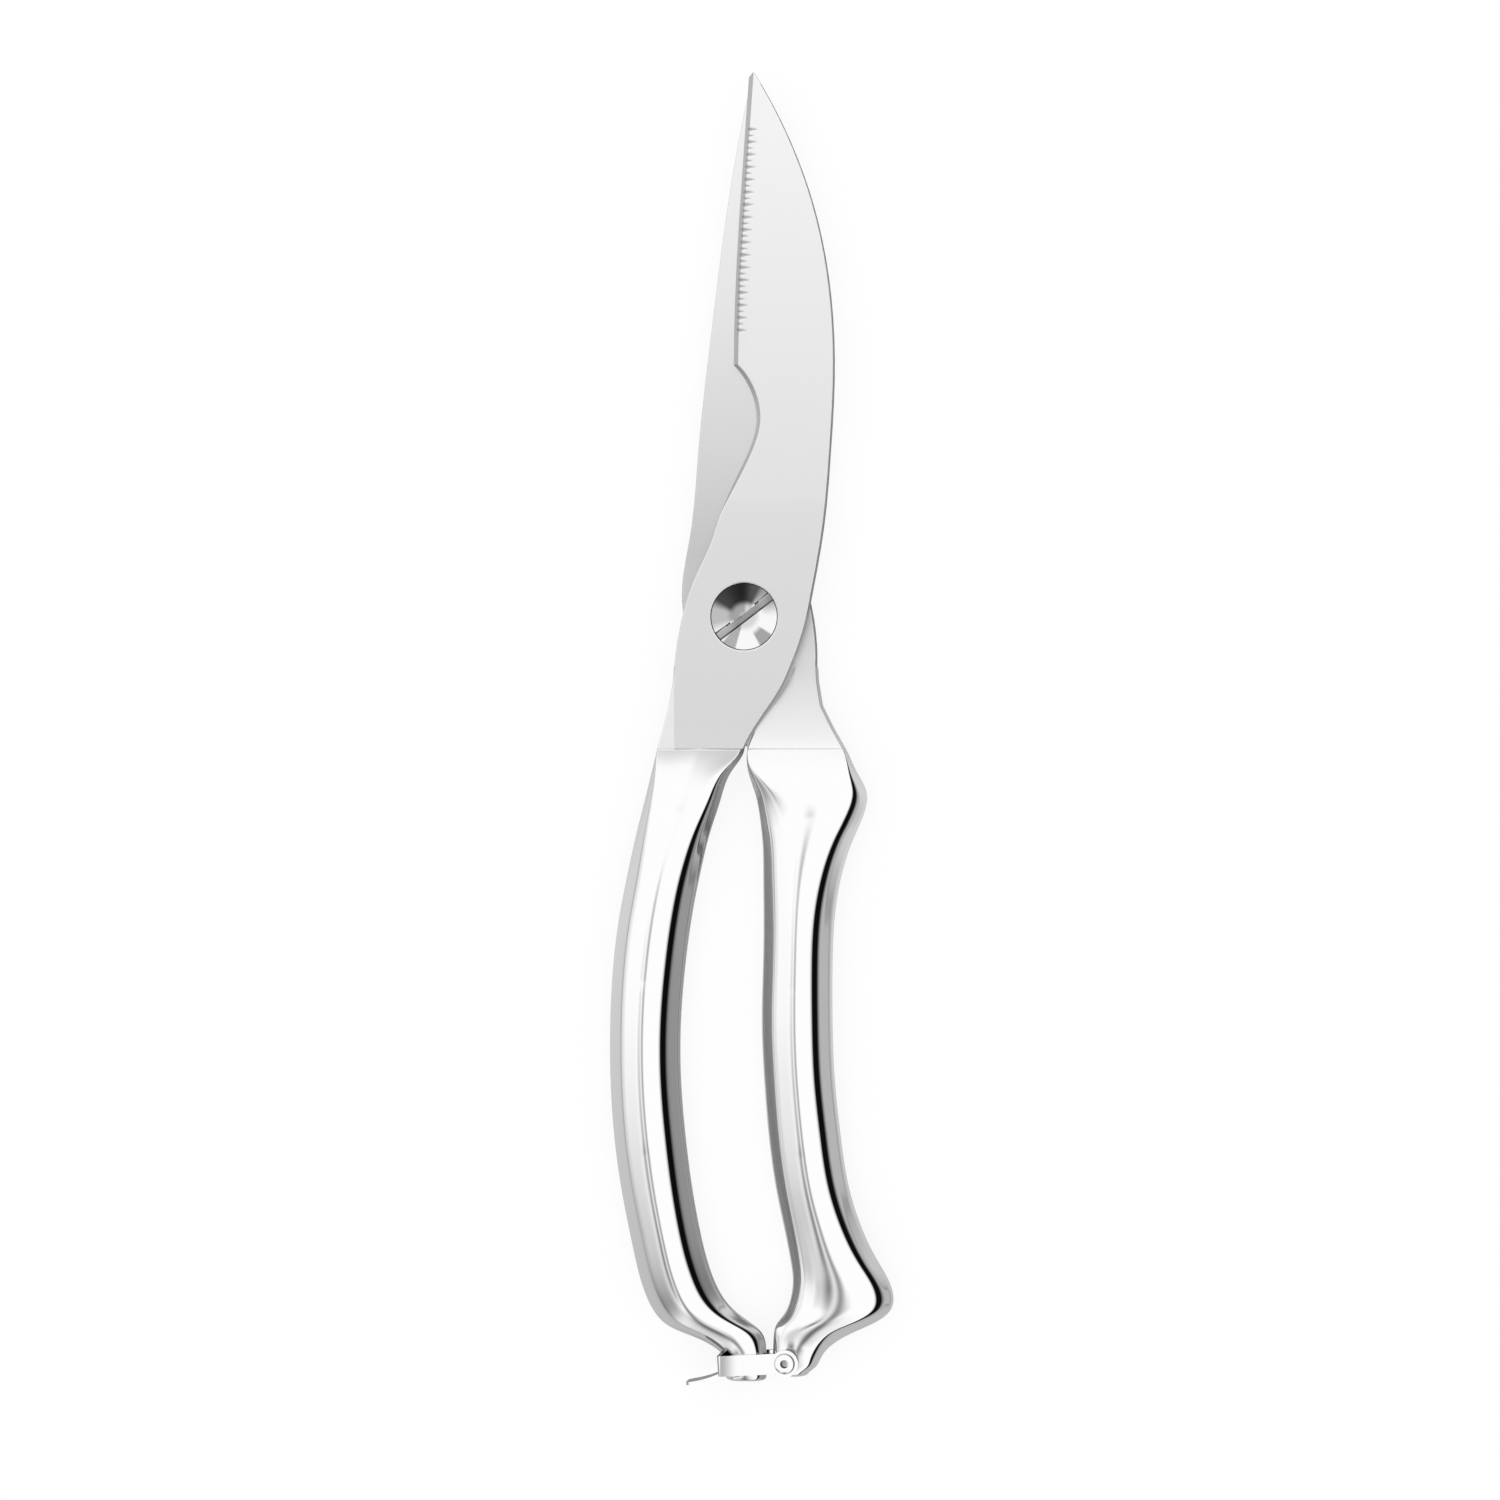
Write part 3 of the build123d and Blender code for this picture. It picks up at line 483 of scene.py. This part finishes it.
def turned_steel(name, level, roughness, slope=0.0, slotted=False):
    """Steel turned round the pivot: fine rings, and a shallow dish that sends light inwards.

    The dish's height is radius^2 * tan(slope) / (2 * head radius), so its slope grows evenly and
    reaches the given one at the rim. A slotted head has painted shade in its slot and painted
    reflections that darken some sectors.
    """
    material = bpy.data.materials.new(name)
    tree = new_tree(material)
    _, (x, y, _) = place_on_object(tree)
    radius = distance(tree, x, y, (0.0, 0.0))
    rings = math_node(tree, "SINE", math_node(tree, "MULTIPLY", radius, 2 * math.pi / ring_pitch))
    squared = math_node(tree, "MULTIPLY", radius, radius)
    dish = math_node(tree, "MULTIPLY", squared, math.tan(slope) / (2 * head_radius))
    normal = bumped(tree, rings, ring_depth, bumped(tree, dish, mm))
    colour = (level, level, level)
    if slotted:
        middle = step_between(tree, radius, *flat_middle, 1.0, 0.0)
        normal = mixed(tree, "VECTOR", middle, normal, to_front)
        # Painted shade in the slot and painted reflections in the sectors
        tone = painted_sector_shade(tree, x, y, radius, painted_slot_shade(tree, x, y))
        colour = math_node(tree, "MULTIPLY", tone, level)
    metal(tree, colour, math_node(tree, "MULTIPLY_ADD", rings, ring_swing, roughness), normal)
    return material


# %% [markdown]
# ### Latch, washer and spring
# The latch is pressed from strip and the spring and washer are drawn or stamped, so rolling marks
# run along them. The strap's front leans a little towards the blades and bends away at its left
# end, which the photograph shows as a grey that fades to the right. The solid's strap is straight,
# and a bump and a painted shade by place do this, since neither would change its outline.

# %% Pressed latch, brass washer and drawn wire
latch_tilt = math.radians(9.0)             # the strap leans a little towards the blades
stroke_depth = 0.0003 * mm
stroke_swing = 0.08                        # of the roughness
strap_bend = (-4.5, -1.0)                  # mm across: the strap bends away towards its left end
# Painted shade where the strap bends away, darkest where the bend is steepest
bend_painted_shade = 0.45                           # where the bend is steepest
bend_edge = (-4.55, -4.45)                 # left of it the arm's edge catches the light again
# Painted shade by how flat a face lies, from the cut edges to the flat faces
pressed_painted_shades = [(0.0, 0.30), (0.35, 0.45), (0.75, 0.80), (0.95, 1.0)]


def drawn_metal(name, colour, roughness, streaks, lean=0.0):
    """Metal with streaks left by rolling or drawing. One that leans is the latch's strip, with
    painted shade on its cut edges and at the bend at the strap's left end."""
    material = bpy.data.materials.new(name)
    tree = new_tree(material)
    place, (x, y, _) = place_on_object(tree)
    strokes = stretched_noise(tree, place, streaks)
    normal = bumped(tree, strokes, stroke_depth)
    if lean:
        normal = bumped(tree, math_node(tree, "MULTIPLY", y, -math.tan(lean)), mm, normal)
        # Painted shade on the cut edges and at the strap's bend
        tone = painted_shade_by_steepness(tree, [(flat, level * colour[0]) for flat, level in pressed_painted_shades])
        bend = step_between(tree, x, *strap_bend, bend_painted_shade, 1.0)
        edge = step_between(tree, x, *bend_edge, 1.0, 0.0)
        colour = math_node(tree, "MULTIPLY", tone, math_node(tree, "MAXIMUM", bend, edge))
    metal(tree, colour, swung(tree, strokes, stroke_swing, roughness), normal)
    return material


# %% Give each node its finish
plate_polish, grip_polish = 0.06, 0.04
finishes = {
    "front": shears_steel("satin_steel_front", plate_polish, front_painted_shading, plate=True, teeth=True),
    "rear": shears_steel("satin_steel_rear", plate_polish, rear_painted_shading, plate=True),
    "left": shears_steel("mirror_chrome_left", grip_polish, left_painted_shading, flank_painted_shade=inner_flank_painted_shade),
    "right": shears_steel("mirror_chrome_right", grip_polish, right_painted_shading),
    "screw": turned_steel("turned_screw", 0.94, 0.07, dish_slope, slotted=True),
    "nut": turned_steel("turned_nut", 0.88, 0.16),
    "latch": drawn_metal("pressed_steel", (0.98, 0.98, 0.98), 0.10, (0.3, 6.0, 6.0), latch_tilt),
    "brass": drawn_metal("washer_brass", (0.72, 0.58, 0.32), 0.30, (4.0, 4.0, 1.0)),
    "wire": drawn_metal("spring_wire", (0.55, 0.55, 0.56), 0.25, (3.0, 3.0, 0.5)),
}
node_finish = {
    "front_blade": "front", "rear_blade": "rear", "left_handle": "left", "right_handle": "right",
    "pivot_screw": "screw", "pivot_nut": "nut", "pivot_washer": "brass", "return_spring": "wire",
    "latch_loop": "latch", "latch_rivet": "latch", "front_latch_washer": "latch",
    "rear_latch_washer": "latch",
}
for name, finish in node_finish.items():
    nodes[name].data.materials.clear()
    nodes[name].data.materials.append(finishes[finish])
print("finishes", len(finishes), "on", len(node_finish), "nodes")

# %% [markdown]
# ## Handles
# Cast handles polished to a mirror show every flat spot of a mesh as a break in a reflection.
# The solids are right in shape but their triangles are coarse for that, so each handle is
# worked out again as one fine grid: a section with two flanks and a soft ridge, carried down
# the same stations. Subdividing the solid's mesh would keep its flat spots, and a lofted surface
# could be made, but a grid of sections lets each row of the table be read off the photograph.

# %% Stations of the handles
seam_drop = 25.2               # all of these in millimetres, as on the solids
handle_reach = 146.0
shoulder_spread = 13.4
left_spread, right_spread = 26.7, 28.8
plate_top = 3.05
half_depth = 5.2
flat_section = dict(flank=0.3, brow=0.93, corner=0.3, brow_radius=0.3)
grip_section = dict(flank=3.3, brow=0.70, corner=1.1, brow_radius=6.5)
ridge_radius = 4.0             # where the ridge is sharpest, at mid grip
soft_ridge_radius = 16.0       # where it fades out, at both ends of the grip
ridge_fades = (-52.0, -72.0, -100.0, -124.0)   # soft above, sharp between, soft below

# Neck: how far down to the seam, the inner edge as a share of the shoulder's spread, and the
# depth inwards as a share of the half depth. The outer edges differ from side to side.
neck_shares = [(0.675, -0.246, 0.28), (0.853, -0.119, 0.42), (1.000, -0.022, 0.54)]
left_neck_outer_shares = (-1.108, -1.195, -1.275)
right_neck_outer_shares = (-1.101, -1.272, -1.433)
# Grip, each row: the outer point and then the inner one, as shares of the handle's spread and of
# the run from the seam to the tip; the depth outwards and inwards as shares of the half depth;
# and how far the section has gone from a flat plate, 0, to a full grip, 1.
left_grip_shares = [
    (-0.683, 0.036, -0.105, 0.036, 0.63, 0.69, 0.20),
    (-0.736, 0.081, -0.182, 0.081, 0.73, 0.81, 0.45),
    (-0.806, 0.139, -0.256, 0.135, 0.86, 0.92, 0.75),
    (-0.864, 0.193, -0.311, 0.189, 0.96, 0.98, 0.95),
    (-0.924, 0.259, -0.370, 0.255, 1.00, 1.00, 1.00),
    (-0.972, 0.338, -0.425, 0.342, 1.00, 1.00, 1.00),
    (-0.9962, 0.433, -0.458, 0.435, 1.00, 1.00, 1.00),
    (-0.9945, 0.524, -0.458, 0.520, 1.00, 1.00, 1.00),
    (-0.964, 0.623, -0.424, 0.615, 1.00, 1.00, 1.00),
    (-0.911, 0.705, -0.378, 0.694, 1.00, 1.00, 1.00),
    (-0.836, 0.788, -0.316, 0.768, 1.00, 1.00, 1.00),
    (-0.755, 0.858, -0.242, 0.828, 0.98, 0.98, 1.00),
    (-0.610, 0.911, -0.094, 0.885, 0.90, 0.90, 0.95),
    (-0.453, 0.928, 0.056, 0.911, 0.74, 0.74, 0.80),
    (-0.262, 0.946, 0.141, 0.933, 0.61, 0.61, 0.62),
    (-0.168, 0.962, 0.150, 0.953, 0.555, 0.555, 0.40),
    (-0.152, 0.978, 0.150, 0.975, 0.535, 0.535, 0.30),
    (-0.150, 0.9925, 0.150, 0.9925, 0.530, 0.530, 0.30),
]
right_grip_shares = [
    (-0.740, 0.036, -0.017, 0.038, 0.65, 0.72, 0.20),
    (-0.812, 0.070, -0.061, 0.075, 0.79, 0.87, 0.68),
    (-0.797, 0.104, -0.083, 0.112, 0.93, 0.96, 0.97),
    (-0.729, 0.142, -0.100, 0.151, 0.99, 1.00, 1.00),
    (-0.656, 0.194, -0.104, 0.202, 1.00, 1.00, 1.00),
    (-0.608, 0.258, -0.106, 0.263, 1.00, 1.00, 1.00),
    (-0.590, 0.341, -0.102, 0.341, 1.00, 1.00, 1.00),
    (-0.590, 0.432, -0.094, 0.432, 1.00, 1.00, 1.00),
    (-0.604, 0.520, -0.109, 0.520, 1.00, 1.00, 1.00),
    (-0.642, 0.608, -0.140, 0.611, 1.00, 1.00, 1.00),
    (-0.701, 0.695, -0.191, 0.698, 1.00, 1.00, 1.00),
    (-0.794, 0.763, -0.249, 0.764, 1.00, 1.00, 1.00),
    (-0.893, 0.810, -0.289, 0.813, 1.00, 1.00, 1.00),
    (-0.9855, 0.853, -0.301, 0.848, 0.98, 0.98, 1.00),
    (-0.969, 0.889, -0.277, 0.878, 0.95, 0.95, 1.00),
    (-0.809, 0.914, -0.233, 0.898, 0.88, 0.88, 0.95),
    (-0.653, 0.932, -0.186, 0.915, 0.72, 0.72, 0.80),
    (-0.549, 0.950, -0.177, 0.934, 0.580, 0.580, 0.60),
    (-0.497, 0.967, -0.177, 0.957, 0.545, 0.545, 0.40),
    (-0.470, 0.977, -0.177, 0.971, 0.535, 0.535, 0.30),
    (-0.425, 0.986, -0.180, 0.984, 0.530, 0.530, 0.30),
]


def station_table(neck_outer, grip, spread):
    """Stations as rows of outer x and y, inner x and y, depth out and in, and turn."""
    rows = []
    for outer, (drop, inner, depth) in zip(neck_outer, neck_shares):
        rows.append((
            outer * shoulder_spread, -drop * seam_drop,
            inner * shoulder_spread, -drop * seam_drop,
            plate_top, depth * half_depth, 0.0,
        ))
    run = handle_reach - seam_drop
    for outer, outer_drop, inner, inner_drop, out_share, in_share, turned in grip:
        rows.append((
            outer * spread, -seam_drop - outer_drop * run,
            inner * spread, -seam_drop - inner_drop * run,
            max(out_share * half_depth, plate_top), in_share * half_depth, turned,
        ))
    return np.array(rows)


left_stations = station_table(left_neck_outer_shares, left_grip_shares, left_spread)
right_stations = station_table(right_neck_outer_shares, right_grip_shares, right_spread)
print("stations", left_stations.shape, right_stations.shape)

# %% [markdown]
# ### From stations to rings
# The pattern maker's curves run through the stations without a kink, and so does a natural cubic
# spline. The section has a sharp line nowhere: a buffing wheel rounds each corner.

# %% A cubic spline through the stations
def spline_rows(rows, first, count):
    """Rows on a natural cubic spline through the given rows, from row `first` to the last.

    The knots are the lengths along the middle line. The second derivatives m solve
    h0*m0 + 2*(h0+h1)*m1 + h1*m2 = 6*(slope1 - slope0) at each inner knot.
    """
    middle = (rows[:, 0:2] + rows[:, 2:4]) / 2
    steps = np.linalg.norm(np.diff(middle, axis=0), axis=1)
    knots = np.concatenate([[0], np.cumsum(steps)])
    n = len(knots)
    matrix, right = np.eye(n), np.zeros_like(rows)
    inner = np.arange(1, n - 1)
    matrix[inner, inner] = 2 * (steps[:-1] + steps[1:])
    matrix[inner, inner - 1], matrix[inner, inner + 1] = steps[:-1], steps[1:]
    slopes = np.diff(rows, axis=0) / steps[:, None]
    right[1:-1] = 6 * np.diff(slopes, axis=0)
    bend = np.linalg.solve(matrix, right)
    places = np.linspace(knots[first], knots[-1], count)
    k = np.clip(np.searchsorted(knots, places, side="right") - 1, 0, n - 2)
    h = steps[k][:, None]
    a = ((knots[k + 1] - places) / steps[k])[:, None]
    b = 1 - a
    bent = ((a**3 - a) * bend[k] + (b**3 - b) * bend[k + 1]) * h**2 / 6
    return a * rows[k] + b * rows[k + 1] + bent


# %% The section of a handle
round_points = 9               # points on each rounded corner
side_points = 3                # points between two corners
corner_share = 0.48            # how much of a side the rounding of one corner may take


def section_rings(rows):
    """Closed rings of points, one for each row, as an array (rows, points, 3).

    Eight corners, two at the parting lines, four where flank meets crown and two on the ridges,
    are each rounded by a quadratic curve between its tangent points, and the straight runs
    between them carry a few points of their own. u runs from the inner to the outer point and
    w is the height. A ridge's corner is lifted by ridge_radius * (1 / cos(crown) - 1), so that
    the sharpest part of the ridge keeps its station's depth once it is rounded.
    """
    outer, inner = rows[:, 0:2], rows[:, 2:4]
    top, bottom, turned = rows[:, 4], -rows[:, 5], np.clip(rows[:, 6], 0, 1)
    across = outer - inner
    width = np.linalg.norm(across, axis=1)
    across = across / width[:, None]
    blend = {
        key: flat + (grip_section[key] - flat) * turned for key, flat in flat_section.items()
    }
    middle, half = (top + bottom) / 2, (top - bottom) / 2
    flank, brow = blend["flank"], half * blend["brow"]
    crown = np.arctan2(half - brow, width / 2 - flank)
    height = (outer[:, 1] + inner[:, 1]) / 2
    sharp = np.interp(-height, -np.array(ridge_fades), [0, 1, 1, 0])
    sharp = sharp**2 * (3 - 2 * sharp)
    ridge = soft_ridge_radius + (ridge_radius - soft_ridge_radius) * sharp
    lift = ridge_radius * (1 / np.cos(crown) - 1)
    zero = np.zeros_like(width)
    u = np.stack([
        zero, flank, width / 2, width - flank,
        width, width - flank, width / 2, flank,
    ], axis=1)
    w = np.stack([
        middle, middle + brow, top + lift, middle + brow,
        middle, middle - brow, bottom - lift, middle - brow,
    ], axis=1)
    brow_radius = blend["brow_radius"]
    radius = np.stack([blend["corner"], brow_radius, ridge, brow_radius] * 2, axis=1)
    corners = np.stack([u, w], axis=2)
    back, ahead = np.roll(corners, 1, axis=1) - corners, np.roll(corners, -1, axis=1) - corners
    back_length, ahead_length = np.linalg.norm(back, axis=2), np.linalg.norm(ahead, axis=2)
    back, ahead = back / back_length[..., None], ahead / ahead_length[..., None]
    opening = np.arccos(np.clip((back * ahead).sum(axis=2), -1, 1))
    room = corner_share * np.minimum(back_length, ahead_length)
    reach = np.minimum(radius / np.tan(opening / 2), room)
    start, end = corners + back * reach[..., None], corners + ahead * reach[..., None]
    t = np.linspace(0, 1, round_points)[None, None, :, None]
    arcs = (
        (1 - t)**2 * start[:, :, None] + 2 * t * (1 - t) * corners[:, :, None]
        + t**2 * end[:, :, None]
    )
    following = np.roll(start, -1, axis=1)
    q = np.linspace(0, 1, side_points + 2)[1:-1][None, None, :, None]
    runs = (1 - q) * end[:, :, None] + q * following[:, :, None]
    ring = np.concatenate([arcs, runs], axis=2).reshape(len(rows), -1, 2)
    places = inner[:, None] + across[:, None] * ring[..., :1]
    return np.concatenate([places, ring[..., 1:]], axis=2)


# %% Meshes from rings
def ring_mesh(rings):
    """Points and faces of a tube through closed rings, with a flat cap on each end."""
    count, around = rings.shape[:2]
    points = rings.reshape(-1, 3)
    i, j = np.meshgrid(np.arange(count - 1), np.arange(around), indexing="ij")
    n = (j + 1) % around
    near, far = i * around, (i + 1) * around
    quads = np.stack([near + j, far + j, far + n, near + n], axis=-1)
    caps = [list(range(around)), list(range((count - 1) * around, count * around))[::-1]]
    return points, quads.reshape(-1, 4).tolist(), caps


def make_piece(name, shells, body, finish, replaced=()):
    """One smooth-shaded object out of closed shells, given in millimetres from the pivot."""
    points, faces, flat = [], [], []
    for shell_points, shell_faces, shell_caps in shells:
        base = sum(len(p) for p in points)
        points.append(shell_points)
        faces += [[base + v for v in face] for face in shell_faces + shell_caps]
        flat += [False] * len(shell_faces) + [True] * len(shell_caps)
    mesh = bpy.data.meshes.new(name)
    mesh.from_pydata((np.concatenate(points) * mm + np.array(pivot)).tolist(), [], faces)
    mesh.polygons.foreach_set("use_smooth", [not f for f in flat])
    mesh.update()
    work = bmesh.new()
    work.from_mesh(mesh)
    bmesh.ops.recalc_face_normals(work, faces=work.faces)
    volume = work.calc_volume(signed=True) / mm**3
    print(name, "faces", len(work.faces), "volume mm3", round(volume))
    work.to_mesh(mesh)
    work.free()
    mesh.materials.append(finishes[finish])
    piece = bpy.data.objects.new(name, mesh)
    scene.collection.objects.link(piece)
    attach(piece, body)
    if replaced:
        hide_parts(*replaced)
    return piece


# %% [markdown]
# ### Tips and necks
# A tip is dressed round on the wheel. Above the seam a handle's metal reaches under its plate as
# a neck, which hardly shows: the solid's own triangles do there, so a copy of the solid is cut at
# the seam and joins the grip as a second closed shell, with a slight overlap.

# %% Round off the tips
tip_round = 0.9                # how far the end of a tip is drawn in, in millimetres
tip_steps = 7                  # rings in its quarter circle, with the one at its start


def end_rounded(rings):
    """Add rings that close the last one like a quarter circle: each is drawn in towards its
    middle by tip_round*(1 - cos a) and pushed on by tip_round*sin a."""
    last, before = rings[-1], rings[-2]
    middle = last.mean(axis=0)
    push = middle - before.mean(axis=0)
    push = push / np.linalg.norm(push)
    spoke = last - middle
    reach = np.linalg.norm(spoke, axis=1)[:, None]
    rounds = []
    for a in np.linspace(0, math.pi / 2, tip_steps)[1:]:
        shrink = np.clip(1 - tip_round * (1 - math.cos(a)) / reach, 0, 1)
        rounds.append(middle + spoke * shrink + push * tip_round * math.sin(a))
    return np.concatenate([rings, np.array(rounds)])


# %% Shells of the handles
handle_rows = 300              # rings along a grip
seam_row = 2                   # the station at the seam, after two that steer the spline
seam_overlap = 0.02            # how far a neck runs into its grip, in millimetres
merge_distance = 1e-7          # in metres, between points of a solid that are the same


def grip_shell(side, stations):
    """The grip from the seam to the tip. Side -1 turns it half round the shears' length: the
    right handle's table is written as a left one's, but that handle lies the other way up."""
    rings = end_rounded(section_rings(spline_rows(stations, seam_row, handle_rows)))
    return ring_mesh(rings * np.array([side, 1, side]))


def trimmed_copy(node, keep_above):
    """The part of a solid above a height along the shears, closed where it was cut."""
    work = bmesh.new()
    work.from_mesh(nodes[node].data)
    bmesh.ops.remove_doubles(work, verts=work.verts, dist=merge_distance)
    geometry = list(work.verts) + list(work.edges) + list(work.faces)
    bmesh.ops.bisect_plane(
        work, geom=geometry, clear_inner=True, plane_co=(0, keep_above, 0), plane_no=(0, 1, 0),
    )
    rim = [edge for edge in work.edges if edge.is_boundary]
    bmesh.ops.holes_fill(work, edges=rim, sides=0)
    work.verts.ensure_lookup_table()
    points = (np.array([v.co for v in work.verts]) - np.array(pivot)) / mm
    work.verts.index_update()
    faces = [[v.index for v in face.verts] for face in work.faces]
    open_edges = sum(edge.is_boundary for edge in work.edges)
    print(node, "neck faces", len(faces), "open edges", open_edges)
    work.free()
    return points, [], faces


# %% Make both handles
seam_height = pivot.y - seam_drop * mm - seam_overlap * mm
make_piece(
    "left_grip", [grip_shell(1, left_stations), trimmed_copy("left_handle", seam_height)],
    "front_half", "left", ["left_handle"],
)
right_grip = make_piece(
    "right_grip", [grip_shell(-1, right_stations), trimmed_copy("right_handle", seam_height)],
    "rear_half", "right", ["right_handle"],
)

# In the photograph the left handle's inner flank is evenly dark, with no image of the right one
right_grip.visible_glossy = False

# %% [markdown]
# ## Floor
# The shears lie on white paper. To the camera the paper glows an even white, as round the object
# in the photograph, and darkens only where the shears touch it. In mirror rays it is mostly plain
# paper with painted light on it, lighter near the shears than far off, which gives the flanks
# their greys.

# %% Lay the paper
floor_reach = 3.0              # metres
contact_reach = 12 * mm        # how far the contact shadow spreads
contact_samples = 8
contact_level = 0.90           # how dark it gets
# Painted light on the paper: greys by the distance from the middle, in metres
paper_painted_light = [(0.0, 0.62), (0.06, 0.62), (0.14, 0.42), (0.40, 0.24)]
mirrored_glow = 0.12           # share of the glow that mirror rays see
mesh = bpy.data.meshes.new("floor")
signs = [(-1, -1), (1, -1), (1, 1), (-1, 1)]
corners = [(x * floor_reach, y * floor_reach, 0) for x, y in signs]
mesh.from_pydata(corners, [], [(0, 1, 2, 3)])
floor = bpy.data.objects.new("floor", mesh)
scene.collection.objects.link(floor)
paper = bpy.data.materials.new("paper")
tree = new_tree(paper)
occlusion = put(
    tree, "ShaderNodeAmbientOcclusion", samples=contact_samples, in_Distance=contact_reach)
shadow = step_between(tree, occlusion.outputs["AO"], 0.0, 1.0, contact_level, 1.0)
whites = put(tree, "ShaderNodeCombineColor")
for socket in whites.inputs[:3]:
    tree.links.new(shadow, socket)
glow = put(tree, "ShaderNodeEmission", in_Strength=1.0)
tree.links.new(whites.outputs[0], glow.inputs["Color"])
diffuse = put(tree, "ShaderNodeBsdfDiffuse")
floor_place = put(tree, "ShaderNodeSeparateXYZ")
tree.links.new(put(tree, "ShaderNodeTexCoord").outputs["Object"], floor_place.inputs[0])
away = distance(tree, floor_place.outputs["X"], floor_place.outputs["Y"], (0.0, 0.0))
# Painted light on the paper, lighter near the shears
tree.links.new(ramp(tree, away, paper_painted_light), diffuse.inputs["Color"])
paths = put(tree, "ShaderNodeLightPath")
mirrored = math_node(tree, "MULTIPLY", paths.outputs["Is Glossy Ray"], mirrored_glow)
past_camera = math_node(tree, "ADD", paths.outputs["Is Transmission Ray"], mirrored)
seen = math_node(tree, "ADD", paths.outputs["Is Camera Ray"], past_camera, clamp=True)
mix = put(tree, "ShaderNodeMixShader")
tree.links.new(seen, mix.inputs[0])
tree.links.new(diffuse.outputs[0], mix.inputs[1])
tree.links.new(glow.outputs[0], mix.inputs[2])
tree.links.new(mix.outputs[0], put(tree, "ShaderNodeOutputMaterial").inputs[0])
mesh.materials.append(paper)
print("floor", 2 * floor_reach, "m wide")
